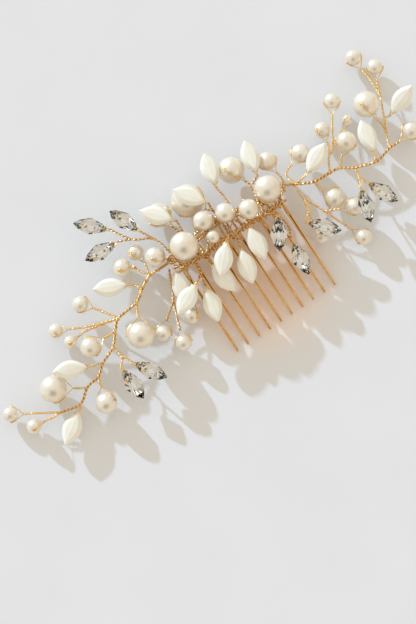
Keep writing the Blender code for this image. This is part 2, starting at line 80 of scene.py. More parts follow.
def surface(name, look):
    # clouded colour, and marks that vary the gloss and rise a little; sizes in metres
    material = bpy.data.materials.new(name)
    material.use_nodes = True
    tree = material.node_tree
    shader = tree.nodes["Principled BSDF"]
    place = addNode(tree, "ShaderNodeTexCoord")
    cloud = addNode(tree, "ShaderNodeTexNoise",
                    {"Vector": place.outputs["Object"], "Scale": 1 / look["cloud"], "Detail": 3.0})
    marks = addNode(tree, "ShaderNodeTexNoise",
                    {"Vector": place.outputs["Object"], "Scale": 1 / look["marks"], "Detail": 1.0})
    tint = addNode(tree, "ShaderNodeValToRGB", {"Fac": cloud.outputs["Fac"]})
    for element, hexColour, position in zip(tint.color_ramp.elements, look["colours"], (0.35, 0.65)):
        element.color = linear(hexColour)
        element.position = position
    rough = addNode(tree, "ShaderNodeMapRange", {"Value": marks.outputs["Fac"],
                    "To Min": look["roughness"][0], "To Max": look["roughness"][1]})
    bump = addNode(tree, "ShaderNodeBump", {"Height": marks.outputs["Fac"],
                   "Strength": look["bump"], "Distance": look["marks"] / 20})
    colour = tint.outputs["Color"]
    if "creviceShade" in look:  # painted shade: darker where a rope's strands close on each other
        depth = addNode(tree, "ShaderNodeAttribute", attribute_name="creviceShade")
        shadeMix = addNode(tree, "ShaderNodeMix", {0: depth.outputs["Fac"], 6: colour,
                         7: linear(look["creviceShade"])}, data_type="RGBA")  # 6 and 7 are its colours
        colour = shadeMix.outputs[2]
    tree.links.new(colour, shader.inputs["Base Color"])
    tree.links.new(rough.outputs["Result"], shader.inputs["Roughness"])
    tree.links.new(bump.outputs["Normal"], shader.inputs["Normal"])
    for socket, value in look["sockets"].items():
        shader.inputs[socket].default_value = value
    return material


# drawn brass wire with a bright gold flash: pale yellow glints, and painted amber shade between the strands
vineGold = surface("goldPlatedVineWire", {
    "colours": ("#FAC674", "#FFE8B2"), "creviceShade": "#B86E1C", "cloud": 1.5 * mm, "marks": 0.6 * mm,
    "roughness": (0.2, 0.3), "bump": 0.08, "sockets": {"Metallic": 1.0}})
# the same plating on the stiffer comb wire, rubbed a little smoother: long clean glints
combGold = surface("goldPlatedCombWire", {
    "colours": ("#F8C988", "#FDDCA8"), "cloud": 6.0 * mm, "marks": 1.2 * mm,
    "roughness": (0.14, 0.2), "bump": 0.04, "sockets": {"Metallic": 1.0}})
# painted shade: a dark brown line laid in the crevice between a tooth's legs, where shade falls
shadeStrip = surface("paintedShadeStrip", {
    "colours": ("#3A2410", "#5A3A1C"), "cloud": 1.5 * mm, "marks": 0.4 * mm,
    "roughness": (0.5, 0.6), "bump": 0.1, "sockets": {"Metallic": 0.6}})
# bead dipped in pearl lacquer: a silky glow under a clear glossy skin
pearlSkin = surface("nacrePearl", {
    "colours": ("#F3E9D8", "#F9F2E4"), "cloud": 2.5 * mm, "marks": 0.7 * mm,
    "roughness": (0.33, 0.39), "bump": 0.04,
    "sockets": {"Metallic": 0.5, "Coat Weight": 0.45, "Coat Roughness": 0.13,
                "Coat Tint": (1.0, 0.97, 0.91, 1.0)}})
# cast polyester resin, lightly polished: opaque cream with a faint cloud and a satin skin
leafResin = surface("ivoryResin", {
    "colours": ("#F4EEDC", "#F8F3E4"), "cloud": 3.0 * mm, "marks": 0.35 * mm,
    "roughness": (0.34, 0.46), "bump": 0.1,
    "sockets": {"Subsurface Weight": 0.15, "Subsurface Radius": (1.0, 0.8, 0.5),
                "Subsurface Scale": 0.6 * mm}})
# machine-cut glass: clear, with crisp facets and a breath of polish marks
crystalGlass = surface("cutCrystal", {
    "colours": ("#F9FAFB", "#FFFDF8"), "cloud": 2.0 * mm, "marks": 0.5 * mm,
    "roughness": (0.0, 0.02), "bump": 0.0, "sockets": {"Transmission Weight": 1.0, "IOR": 1.48}})
# silver mirror foil behind the stone: throws the light back as hard black and white flashes
silverFoil = surface("silverFoil", {
    "colours": ("#EDEDEC", "#F7F4EE"), "cloud": 1.5 * mm, "marks": 0.4 * mm,
    "roughness": (0.02, 0.06), "bump": 0.03, "sockets": {"Metallic": 1.0}})
print("materials made")


wire = {
    "strand": 0.44 * mm,  # one strand
    "twist": 2.7 * mm,  # one full turn of a twisted pair
    "stemStrand": 0.6 * mm,  # one of a stem's thicker strands
    "stemTwist": 3.0 * mm,  # one full turn of a stem
    "slack": 0.64,  # from a pair's middle to each strand's, in strands; 0.5 is tight
    "shadeGain": 1.5,  # how soon the painted shade deepens between the strands
    "pearlFork": 2.0 * mm,  # from a pearl's skin to where its pair opens
    "smallFork": 1.7 * mm,  # the same at a small pearl
    "tipFork": 1.4 * mm,  # and at a leaf's or a crystal's tip
    "step": 0.25 * mm,  # between points along a strand
    "sides": 6,
}


def smoothPath(points, step):  # an even Catmull-Rom curve through the points
    padded = [2 * points[0] - points[1], *points, 2 * points[-1] - points[-2]]
    fine = []
    for a, b, c, d in zip(padded, padded[1:], padded[2:], padded[3:]):
        count = max(2, math.ceil((c - b).length / (0.25 * step)))
        for i in range(count):
            t = i / count
            fine.append(0.5 * (2 * b + (c - a) * t + (2 * a - 5 * b + 4 * c - d) * t * t
                               + (3 * b - a - 3 * c + d) * t ** 3))
    fine.append(points[-1])
    even = [fine[0]]
    travelled = 0.0
    for first, second in zip(fine, fine[1:]):
        travelled += (second - first).length
        if travelled >= step:
            even.append(second)
            travelled = 0.0
    if (even[-1] - points[-1]).length < 0.5 * step and len(even) > 2:
        even.pop()
    return even + [points[-1]]


def carriedSides(points, lastSide):  # a side vector at each point, carried back from the last one
    sides = [lastSide]
    for i in range(len(points) - 2, -1, -1):
        along = (points[i + 1] - points[i]).normalized()
        side = sides[-1] - along * sides[-1].dot(along)
        sides.append(side.normalized())
    return sides[::-1]


ropeLines = []  # middle points of the ropes made since the last wire mesh, each with its rope's radius


def ropeStrands(points, lastSide, count, offset, twist):
    # strands wound round the points; strand 0 ends on the lastSide
    ropeLines.extend((point, offset + wire["strand"] / 2) for point in points)
    sides = carriedSides(points, lastSide)
    strands = [[] for _ in range(count)]
    left = 0.0
    for i in range(len(points) - 1, -1, -1):
        if i < len(points) - 1:
            left += (points[i + 1] - points[i]).length
        along = (points[min(i + 1, len(points) - 1)] - points[max(i - 1, 0)]).normalized()
        side = sides[i]
        other = along.cross(side)
        for k in range(count):
            angle = 2 * math.pi * (left / twist + k / count)
            strands[k].append(points[i] + offset * (side * math.cos(angle) + other * math.sin(angle)))
    return [strand[::-1] for strand in strands]


def pearlLoop(centre, radius, along, bore):
    # from the fork round one side of the pearl, through its bore and back round the other side
    loop = {"gap": 0.03 * mm, "start": 0.15 * mm, "turnIn": 0.3 * mm, "corner": (-0.08 * mm, -0.06 * mm),
            "inside": 0.4, "arcSteps": 7}
    hug = radius + loop["gap"] + wire["strand"] / 2
    fork = radius + wire["pearlFork"]
    leave = math.acos(hug / fork)
    side = [(-fork + loop["start"], wire["strand"] / 2)]
    last = math.pi / 2 - loop["turnIn"] / hug
    for i in range(loop["arcSteps"] + 1):
        angle = leave + (last - leave) * i / loop["arcSteps"]
        side.append((-hug * math.cos(angle), hug * math.sin(angle)))
    side += [(loop["corner"][0], hug + loop["corner"][1]), (0.0, hug - loop["turnIn"]),
             (0.0, loop["inside"] * radius)]
    flat = side + [(x, -y) for x, y in reversed(side)]
    return [centre + x * along + y * bore for x, y in flat]


def curls(centre, radius, bore):
    # the wire's end rolled up over a bore's mouth, only where the mouth is plain to see
    roll = {"seen": 0.5, "inner": 0.12 * mm, "outer": 0.62 * mm, "lift": 0.16 * mm, "turns": 1.6, "steps": 26}
    mouth = bore if bore.z > 0 else -bore
    if mouth.z <= roll["seen"]:
        return []
    side = up.cross(mouth).normalized()
    other = mouth.cross(side)
    middle = centre + mouth * (radius + roll["lift"])
    strand = []
    for i in range(roll["steps"] + 1):
        share = i / roll["steps"]
        angle = 2 * math.pi * roll["turns"] * share
        reach = roll["inner"] + (roll["outer"] - roll["inner"]) * share
        strand.append(middle + reach * (side * math.cos(angle) + other * math.sin(angle)))
    return [strand]


def tipLoop(tip, spread, inset, along, across):
    # from the fork round a stone's tip, sideways through its hole and back; x runs along the stone
    reach = spread / 2 + wire["strand"] / 2
    side = [(-1.25 * mm, wire["strand"] / 2), (-0.6 * mm, 0.34 * mm), (-0.1 * mm, 0.42 * mm),
            (0.45 * inset, 0.35 * mm + 0.3 * reach), (0.85 * inset, 0.92 * reach),
            (inset, 0.9 * reach), (inset, 0.4 * reach)]
    flat = side + [(x, -y) for x, y in reversed(side)]
    return [tip + x * along + y * across for x, y in flat]


def sprig(path, fork, loop, side, seed):
    # two strands twisted from the stem to the fork, then open round the bead
    chance = random.Random(seed)
    points = [Vector(point) for point in path] + [fork]
    if len(points) == 2:  # a short sprig bows a little
        sway = Vector((chance.uniform(-1, 1), chance.uniform(-1, 1), chance.uniform(-0.3, 0.6)))
        points.insert(1, (points[0] + points[1]) / 2 + sway * 0.05 * (points[1] - points[0]).length)
    centreLine = smoothPath(points, wire["step"])
    twist = wire["twist"] * chance.uniform(0.85, 1.15)
    one, two = ropeStrands(centreLine, side, 2, wire["strand"] * wire["slack"], twist)
    return one + loop + two[::-1]


def wireMesh(name, strands, diameter, sides, material, radii=None):
    # all the strands of one piece as one mesh of closed tubes
    curve = bpy.data.curves.new(name, "CURVE")
    curve.dimensions = "3D"
    curve.bevel_depth = diameter / 2
    curve.bevel_resolution = (sides - 4) // 2
    curve.use_fill_caps = True
    for strand in strands:
        spline = curve.splines.new("POLY")
        spline.points.add(len(strand) - 1)
        for target, point in zip(spline.points, strand):
            target.co = (*point, 1.0)
            if radii:
                target.radius = radii(point)
    source = bpy.data.objects.new(name, curve)
    bpy.context.scene.collection.objects.link(source)
    graph = bpy.context.evaluated_depsgraph_get()
    graph.update()
    mesh = bpy.data.meshes.new_from_object(source.evaluated_get(graph))
    bpy.data.objects.remove(source)
    shape = bmesh.new()
    shape.from_mesh(mesh)
    bmesh.ops.remove_doubles(shape, verts=shape.verts, dist=0.002 * mm)
    bmesh.ops.recalc_face_normals(shape, faces=shape.faces)
    markCreviceShade(shape)
    return finishPiece(name, shape, material, mesh)


def markCreviceShade(shape):  # each vertex's depth into its rope, which sets its painted shade: 0 on the outside, 1 near the middle
    creviceShade = shape.verts.layers.float.new("creviceShade")
    if not ropeLines:
        return
    middles = kdtree.KDTree(len(ropeLines))
    for i, (point, _) in enumerate(ropeLines):
        middles.insert(point, i)
    middles.balance()
    for vert in shape.verts:
        _, nearest, away = middles.find(vert.co)
        vert[creviceShade] = min(1.0, wire["shadeGain"] * max(0.0, 1.0 - away / ropeLines[nearest][1]))
    ropeLines.clear()


def finishPiece(name, shape, material, mesh=None, smoothAngle=180):
    # the bmesh becomes an object at the origin, with its place in its mesh
    mesh = mesh or bpy.data.meshes.new(name)
    shape.to_mesh(mesh)
    shape.free()
    mesh.name = name
    if smoothAngle:
        mesh.shade_smooth()
        if smoothAngle < 180:
            mesh.set_sharp_from_angle(angle=math.radians(smoothAngle))
    mesh.materials.clear()
    mesh.materials.append(material)
    piece = bpy.data.objects.new(name, mesh)
    bpy.context.scene.collection.objects.link(piece)
    return piece


def stemStrands(points, shares, seed):
    # a stem is a rope that loses strands on its way out; shares says how far each rope goes
    chance = random.Random(seed)
    line = smoothPath(points, wire["step"])
    strands = []
    for count, offset, start, stop in shares:
        first = int(start * (len(line) - 1))
        final = int(stop * (len(line) - 1))
        part = line[first:final + 1]
        along = (part[-1] - part[-2]).normalized()
        side = up.cross(along).normalized()
        strands += ropeStrands(part, side, count, offset * mm, wire["stemTwist"] * chance.uniform(0.95, 1.1))
    return strands


def coilStrand(line, radius, pitch, seed):
    # a wire wound a little unevenly round a line of points
    chance = random.Random(seed)
    uneven = 0.06
    perTurn = 12
    length = sum((b - a).length for a, b in zip(line, line[1:]))
    steps = max(perTurn, int(length / pitch * perTurn))
    coil = []
    wobble = 0.0
    for i in range(steps + 1):
        share = i / steps * (len(line) - 1)
        low = min(int(share), len(line) - 2)
        place = line[low].lerp(line[low + 1], share - low)
        along = (line[low + 1] - line[low]).normalized()
        side = up.cross(along).normalized()
        other = along.cross(side)
        wobble = 0.8 * wobble + chance.uniform(-uneven, uneven)
        angle = 2 * math.pi * i / perTurn
        coil.append(place + radius * (1 + wobble) * (side * math.cos(angle) + other * math.sin(angle)))
    return coil


def addPearl(name, diameter, centre, bore, body, replaced):
    ball = {"hole": 0.45 * mm, "arcSteps": 22, "turns": 36, "edge": 0.08 * mm}
    radius = diameter / 2
    shape = bmesh.new()
    top = math.asin((ball["hole"] + ball["edge"]) / radius)
    rim = []
    for i in range(ball["arcSteps"] + 1):
        angle = top + (math.pi - 2 * top) * i / ball["arcSteps"]
        rim.append(shape.verts.new((radius * math.sin(angle), 0.0, radius * math.cos(angle))))
    inside = radius * math.cos(top) - ball["edge"]
    rim.append(shape.verts.new((ball["hole"], 0.0, -inside)))
    rim.append(shape.verts.new((ball["hole"], 0.0, inside)))
    for first, second in zip(rim, rim[1:] + rim[:1]):
        shape.edges.new((first, second))
    bmesh.ops.spin(shape, geom=shape.verts[:] + shape.edges[:], cent=(0, 0, 0), axis=(0, 0, 1),
                   angle=2 * math.pi, steps=ball["turns"], use_merge=True)
    bmesh.ops.remove_doubles(shape, verts=shape.verts, dist=0.002 * mm)
    bmesh.ops.recalc_face_normals(shape, faces=shape.faces)
    turn = up.rotation_difference(bore).to_matrix().to_4x4()
    bmesh.ops.transform(shape, matrix=Matrix.Translation(centre) @ turn, verts=shape.verts)
    pearl = finishPiece(name, shape, pearlSkin, smoothAngle=40)
    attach(pearl, body)
    if replaced:
        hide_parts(replaced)


def pointedOval(shape, length, width):  # bends a ring of unit circles into pointed ovals
    for vert in shape.verts:
        reach = vert.co.xy.length
        pointed = 1.0 - (vert.co.x / reach) ** 2 if reach > 1e-9 else 0.0
        vert.co.y = math.copysign(pointed * reach, vert.co.y) if pointed > 1e-6 else 0.0
    bmesh.ops.scale(shape, vec=(length / 2, width / 2, 1.0), verts=shape.verts)


def growRings(shape, rings):  # extrudes the top face from ring to ring: rise, length, width, turn
    for rise, long, wide, turn in rings:
        top = max(shape.faces, key=lambda face: face.calc_center_median().z)
        top = bmesh.ops.extrude_discrete_faces(shape, faces=[top])["faces"][0]
        bmesh.ops.scale(shape, vec=(long, wide, 1.0), verts=top.verts)
        bmesh.ops.rotate(shape, matrix=Matrix.Rotation(turn, 3, "Z"), verts=top.verts)
        bmesh.ops.translate(shape, vec=(0, 0, rise), verts=top.verts)
    bmesh.ops.holes_fill(shape, edges=[edge for edge in shape.edges if edge.is_boundary], sides=0)


# tables and base are shares of the outline; inset runs from the tip to where the strand goes in
leaf = {"length": 13.0 * mm, "width": 6.9 * mm, "thickness": 3.4 * mm, "girdle": 0.7 * mm,
        "tableLength": 0.84, "tableWidth": 0.58, "points": 28, "soft": 0.4 * mm, "inset": 1.15 * mm}
crystal = {"length": 12.6 * mm, "width": 6.4 * mm, "crown": 1.35 * mm, "pavilion": 2.3 * mm,
           "girdle": 0.3 * mm, "table": 0.5, "base": 0.22, "points": 8, "inset": 1.15 * mm,
           "foilBelow": -0.2}  # faces that look further back than this carry the foil


def leafShape():
    # a cast leaf: a pointed oval with a long flat table on both faces and softened ridges
    bevel = (leaf["thickness"] - leaf["girdle"]) / 2
    shape = bmesh.new()
    bmesh.ops.create_circle(shape, cap_ends=True, segments=leaf["points"], radius=1.0)
    pointedOval(shape, leaf["length"] * leaf["tableLength"], leaf["width"] * leaf["tableWidth"])
    growRings(shape, ((bevel, 1 / leaf["tableLength"], 1 / leaf["tableWidth"], 0.0),
                      (leaf["girdle"], 1.0, 1.0, 0.0),
                      (bevel, leaf["tableLength"], leaf["tableWidth"], 0.0)))
    bmesh.ops.recalc_face_normals(shape, faces=shape.faces)
    ridges = [edge for edge in shape.edges
              if abs(edge.verts[0].co.z - edge.verts[1].co.z) < 0.01 * mm]
    bmesh.ops.bevel(shape, geom=ridges, offset=leaf["soft"], segments=3, profile=0.5,
                    affect="EDGES", material=-1, clamp_overlap=True)
    bmesh.ops.translate(shape, vec=(leaf["length"] / 2, 0, -leaf["thickness"] / 2), verts=shape.verts)
    return shape


def crystalShape():
    # a cut stone: a small base, pavilion facets, girdle, crown facets turned half a step, and a table
    halfStep = math.pi / crystal["points"]
    outward = 1 / crystal["base"]
    shape = bmesh.new()
    bmesh.ops.create_circle(shape, cap_ends=True, segments=crystal["points"], radius=crystal["base"])
    growRings(shape, ((crystal["pavilion"], outward, outward, 0.0), (crystal["girdle"], 1.0, 1.0, 0.0),
                      (crystal["crown"], crystal["table"], crystal["table"], halfStep)))
    pointedOval(shape, crystal["length"], crystal["width"])
    bmesh.ops.triangulate(shape, faces=[face for face in shape.faces if len(face.verts) == 4])
    bmesh.ops.recalc_face_normals(shape, faces=shape.faces)
    middle = crystal["pavilion"] + crystal["girdle"] / 2
    bmesh.ops.translate(shape, vec=(crystal["length"] / 2, 0, -middle), verts=shape.verts)
    return shape


def addStone(name, makeShape, material, slot, smoothAngle, tip, along, across, through, body):
    shape = makeShape()
    place = Matrix.Translation(tip) @ Matrix((along, across, through)).transposed().to_4x4()
    bmesh.ops.transform(shape, matrix=place, verts=shape.verts)
    bmesh.ops.recalc_face_normals(shape, faces=shape.faces)
    stone = finishPiece(name, shape, material, smoothAngle=smoothAngle)
    if slot == "crystal":
        stone.data.materials.append(silverFoil)
        for face in stone.data.polygons:
            face.material_index = int(face.normal.dot(through) < crystal["foilBelow"])
    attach(stone, body)
    return stone


def axesOf(start, end, turn):
    along = (end - start).normalized()
    across = up.cross(along).normalized()
    spin = Matrix.Rotation(math.radians(turn), 3, along)
    return along, spin @ across, spin @ along.cross(across)


def ovalWidth(stone, inset):  # how wide a stone is at its hole
    return stone["width"] * (1 - (1 - 2 * inset / stone["length"]) ** 2)


# Layout in millimetres from each root. A pearl gives its size and its sprig's way from the stem;
# a small pearl adds its seat and a turn. A leaf or crystal gives the way, its wire end and its aim.

leftArm = {
    "body": "left_arm",
    "root": Vector(joints["bend_left_arm"]["pos_m"]),
    "stem": [(0, 0, 0), (-6, 0, -0.5), (-11, -2.5, -0.5), (-15.5, -5.5, -0.5), (-24, -6.5, -1),
             (-27.5, -9.5, -1), (-31.5, -14, -1.5), (-38, -17, -1.5), (-42, -20, -2),
             (-47.5, -21, -2.5), (-53, -24.5, -3), (-60.5, -23, -3.5)],
    "ropes": [(2, 0.3, 0.0, 1.0), (1, 0.42, 0.0, 0.45)],
    "pearls": {
        "left_pearl_1": (7, [(-6, 0, -0.5), (-9, 6, -1.5)]),
        "left_pearl_2": (6, [(-24, -6.5, -1), (-29.5, 2, -2)]),
        "left_pearl_3": (10, [(-15.5, -5.5, -0.5)]),
        "left_pearl_4": (7.5, [(-27.5, -9.5, -1)]),
        "left_pearl_5": (8, [(-42, -20, -2)]),
        "left_pearl_6": (10, [(-47.5, -21, -2.5)]),
        "left_pearl_7": (5.5, [(-60.5, -23, -3.5)]),
    },
    "smallPearls": {
        "left_small_pearl_1": (6, [(-5.9, -0.2, -0.5), (-4.7, 5, -1.5)], (-5.2, 10.6, -2.5), 50),
        "left_small_pearl_2": (5, [(-23.8, -6.6, -1), (-36, -3.5, -2.8)], (-43.4, -3.4, -3.5), 65),
        "left_small_pearl_3": (5.5, [(-23.8, -6.6, -1), (-35, -2.5, -2.4)], (-45.4, 2.9, -3.5), 40),
        "left_small_pearl_4": (5.5, [(-60.5, -23, -3.5)], (-71.3, -21.6, -4.5), 60),
    },
    "leaves": {
        "left_leaf_1": ([(-11, -2.5, -0.5)], (-14.5, 2, -1.5), (-26, 7.5, -1.5)),
        "left_leaf_2": ([(-38, -17, -1.5)], (-43.4, -15, -0.9), (-55, -10, 2.2)),
        "left_leaf_3": ([(-53, -24.5, -3)], (-55, -26.5, -3.5), (-65.5, -33.5, -4)),
    },
    "crystals": {
        "left_crystal_1": ([(-31.5, -14, -1.5), (-31, -19, -1)], (-33.5, -23.5, -0.5), (-33, -35.5, -1.5)),
        "left_crystal_2": ([(-31, -19, -1)], (-28.5, -24, 0.5), (-21, -36, -0.5)),
    },
}

rightArm = {
    "body": "right_arm",
    "root": Vector(joints["bend_right_arm"]["pos_m"]),
    "stem": [(0, 0, 0), (3, -1.5, -0.5), (9, -4.5, -1), (16, -5, -1.5), (20, -5.5, -2),
             (25, -8.5, -2), (32.5, -11, -2.5), (36.5, -10.5, -3), (40, -9.5, -3), (44, -9.5, -3.5)],
    "ropes": [(2, 0.3, 0.0, 1.0), (1, 0.42, 0.0, 0.45)],
    "pearls": {
        "right_pearl_1": (7, [(3, -1.5, -0.5), (2, 3, -0.5), (3.5, 4.5, -1)]),
        "right_pearl_2": (7.5, [(20, -5.5, -2), (23.5, -2, -2)]),
        "right_pearl_3": (6, [(16, -5, -1.5), (19, 0, -2), (22.5, 2.5, -2.5)]),
        "right_pearl_4": (10, [(42.5, -4, -3)]),
        "right_pearl_5": (6, [(40, -9.5, -3), (42.5, -4, -3), (45, 1, -3), (49, 9, -3.5)]),
        "right_pearl_6": (6, [(49, 9, -3.5)]),
        "right_pearl_7": (7, [(44, -9.5, -3.5)]),
        "right_pearl_8": (7.5, [(9, -4.5, -1), (10, -8.5, -1.5)]),
        "right_pearl_9": (6.5, [(6, -15.5, -2)]),
        "right_pearl_10": (6, [(2.4, -1.2, -0.4), (2, -4, -0.5), (2.5, -7.5, -1), (6, -15.5, -2),
                               (8.5, -21.5, -3)]),
    },
    "smallPearls": {
        "right_small_pearl_1": (6, [(19.2, -0.1, -2), (21.5, 3.5, -2.5)], (23.5, 10.5, -4), 40),
        "right_small_pearl_2": (4, [(22.5, 2.5, -2.5)], (33.4, 8.1, -4), 55),
        "right_small_pearl_3": (5.5, [(2.5, -7.5, -1), (0.8, -14, -3)], (0.1, -22.2, -5), 60),
    },
    "leaves": {
        "right_leaf_1": ([(3, -1.5, -0.5)], (9, -0.5, 0), (21, 5, 0)),
        "right_leaf_2": ([(32.5, -11, -2.5)], (34.2, -7.7, -1.6), (37, 5.5, -1.3)),
        "right_leaf_3": ([(45, 1, -3)], (48.5, 1, -3), (57, 3.5, 2.5)),
    },
    "crystals": {
        "right_crystal_1": ([(2.5, -7.5, -1), (1, -12.5, 1)], (-2, -16.5, 2), (6, -25, 0.5)),
        "right_crystal_2": ([(25, -8.5, -2), (24, -11.5, -1.5)], (21, -17.5, 2.4), (17, -29.5, 1.4)),
        "right_crystal_3": ([(24, -11.5, -1.5)], (25.5, -16.5, -1.5), (30.5, -27.5, -2.5)),
    },
}

spineLow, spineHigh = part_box("comb_spine")
spineMiddle = (spineLow + spineHigh) / 2
trunkRise = 2.605 * mm  # the trunk's middle above the spine's

centreVine = {
    "body": "comb",
    "root": spineMiddle + up * trunkRise,
    "pearls": {
        "centre_pearl_1": (7.5, [(-22, 0, 0)]),
        "centre_pearl_2": (10.5, [(-21.5, 0, 0)]),
        "centre_pearl_3": (9, [(-14.5, 0, 0), (-14.5, 8, -1.5)]),
        "centre_pearl_4": (12.5, [(-1, 0, 0), (-0.5, 10, -0.5)]),
        "centre_pearl_5": (7.5, [(-6, 0, 0)]),
        "centre_pearl_6": (7.5, [(0, 0, 0)]),
        "centre_pearl_7": (7.5, [(9, 0, 0)]),
        "centre_pearl_8": (10, [(22, 0, 0)]),
        "centre_pearl_9": (10, [(14, 0, 0), (16, 11.5, -1.5)]),
        "centre_pearl_10": (7, [(25, 2.5, -1), (27, 7, -2)]),
    },
    "smallPearls": {
        "centre_small_pearl_1": (5, [(-7.5, -1, 0)], (-6.8, 2.7, 3.4), 30),
        "centre_small_pearl_2": (6, [(-26, 3, -3), (-28.4, -1.8, -3.6), (-31, -7, -4.6),
                                     (-35.5, -10.5, -5.8)], (-40.8, -14.9, -7.1), 0),
        "centre_small_pearl_3": (6, [(-31, -7, -4.6), (-34, -14.5, -5.8)], (-36.7, -22, -6.6), 0),
        "centre_small_pearl_4": (6, [(-17.5, -5, -1), (-23, -9.5, -4.5)], (-28.6, -15.4, -6.6), 40),
    },
    "leaves": {
        "centre_leaf_1": ([(-14.5, 8, -1.5)], (-15, 16.5, 1), (-24.5, 27.5, 1)),
        "centre_leaf_2": ([(-0.5, 10, -0.5)], (-2, 14.5, 4.5), (-9.5, 25.5, 4.5)),
        "centre_leaf_3": ([(4.5, 0, 0), (5.5, 11.5, -0.5)], (5.5, 19, -1), (9.5, 33.5, -2.5)),
        "centre_leaf_4": ([(16, 11.5, -1.5)], (20.5, 14.5, -1), (24, 27.5, -2)),
        "centre_leaf_5": ([(-21.5, 0, 0)], (-25, 0.5, -0.8), (-27, -9.5, -3)),
        "centre_leaf_6": ([(-16.5, 0, 0), (-17.5, -5, 0)], (-21.5, -8, 1), (-33.5, -13.5, 0.5)),
        "centre_leaf_7": ([(-17.5, -5, 0)], (-19, -11, -1), (-22.5, -24, -2.5)),
        "centre_leaf_8": ([(-2.5, 0, 0)], (-4, -2, 4.5), (-12.5, -10.5, 3.5)),
        "centre_leaf_9": ([(-12, 0, 0)], (-12.5, -5, 0), (-11, -17.5, -1.5)),
        "centre_leaf_10": ([(-1, 0, 0), (0.5, -3, 1.5)], (-1, -7, 2), (-4.5, -20, -0.5)),
        "centre_leaf_11": ([(7.5, 0, 0)], (6, -2, 3), (4.5, -13.5, 1.5)),
    },
    "crystals": {
        "centre_crystal_1": ([(-22, 0, 0), (-24, 14, -1), (-31, 19.5, -2)], (-36.5, 28, -2.5),
                             (-45.5, 37, -2.5)),
        "centre_crystal_2": ([(-31, 19.5, -2)], (-37, 22, -3), (-50, 23, -3.5)),
        "centre_crystal_3": ([(-24, 14, -1)], (-27.5, 21, -0.5), (-32, 32.5, -0.5)),
        "centre_crystal_4": ([(13, 0, 0)], (17, -4.5, 2.5), (10.5, -15, 0)),
        "centre_crystal_5": ([(17.5, 0, 0), (18.5, -9, 0)], (16, -15.5, 0), (15, -27, -2.5)),
    },
}


def fromRoot(vine, points):
    return [vine["root"] + Vector(point) * mm for point in points]


def hangBeads(vine):
    # every bead of one part of the vine, and the strands that hold them
    strands = []
    for name, (size, way) in vine["pearls"].items():
        spin = joints["spin_" + name]
        centre = Vector(spin["pos_m"])
        bore = Vector(spin["axis"]).normalized()
        path = fromRoot(vine, way)
        along = (centre - path[-1]).normalized()
        radius = size * mm / 2
        addPearl(name + "_bead", size * mm, centre, bore, name, name)
        fork = centre - along * (radius + wire["pearlFork"])
        strands.append(sprig(path, fork, pearlLoop(centre, radius, along, bore), bore, name))
        strands += curls(centre, radius, bore)
    for name, (size, way, seat, turn) in vine["smallPearls"].items():
        path = fromRoot(vine, way)
        centre = fromRoot(vine, [seat])[0]
        along, bore, _ = axesOf(path[-1], centre, turn)
        radius = size * mm / 2
        addPearl(name, size * mm, centre, bore, vine["body"], None)
        fork = centre - along * (radius + wire["smallFork"])
        strands.append(sprig(path, fork, pearlLoop(centre, radius, along, bore), bore, name))
        strands += curls(centre, radius, bore)
    for kind, stone, makeShape, material, slot, smoothAngle in (
            ("leaves", leaf, leafShape, leafResin, "leaf", 50),
            ("crystals", crystal, crystalShape, crystalGlass, "crystal", 0)):
        for name, (way, seat, aim) in vine[kind].items():
            path = fromRoot(vine, way)
            tip, far = fromRoot(vine, (seat, aim))
            along, across, through = axesOf(tip, far, 0)
            piece = addStone(name + "_stone", makeShape, material, slot, smoothAngle,
                             tip, along, across, through, vine["body"])
            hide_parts(name)
            loop = tipLoop(tip, ovalWidth(stone, stone["inset"]), stone["inset"], along, across)
            strands.append(sprig(path, tip - along * wire["tipFork"], loop, across, name))
    return strands


def addWires(name, strands, body, replaced, diameter):
    piece = wireMesh(name, strands, diameter, wire["sides"], vineGold)
    if body:
        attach(piece, body)
    if replaced:
        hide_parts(replaced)
    return piece


def outwardOf(vine):
    return Vector(vine["stem"][1]).normalized()


neck = {"reach": 2.0 * mm, "lap": 0.7 * mm, "strands": 4, "rope": 0.29 * mm, "twist": 1.3,
        "coil": 0.6 * mm, "coilWire": 0.3 * mm, "pitch": 0.62 * mm}

for vine in (leftArm, rightArm):
    strands = hangBeads(vine)
    stem = fromRoot(vine, vine["stem"])
    stem[0] = vine["root"] + outwardOf(vine) * neck["reach"]
    addWires(vine["body"] + "_stem", stemStrands(stem, vine["ropes"], vine["body"]), vine["body"],
             None, wire["stemStrand"])
    addWires(vine["body"] + "_wires", strands, vine["body"],
             vine["body"].replace("arm", "vine_wire"), wire["strand"])
    print(vine["body"], "made")

for vine in (leftArm, rightArm):  # the lashed wires where an arm meets the comb
    out = outwardOf(vine)
    start = vine["root"] - out * neck["reach"]
    end = vine["root"] + out * neck["reach"]
    line = smoothPath([start - out * neck["lap"], vine["root"], end + out * neck["lap"]], wire["step"])
    side = up.cross(out).normalized()
    strands = ropeStrands(line, side, neck["strands"], neck["rope"], wire["twist"] * neck["twist"])
    strands.append(coilStrand(line, neck["coil"], neck["pitch"], vine["body"] + "_neck"))
    bend = addWires(vine["body"] + "_neck_wires", strands, None, None, neck["coilWire"])
    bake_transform(bend)
print("necks made")


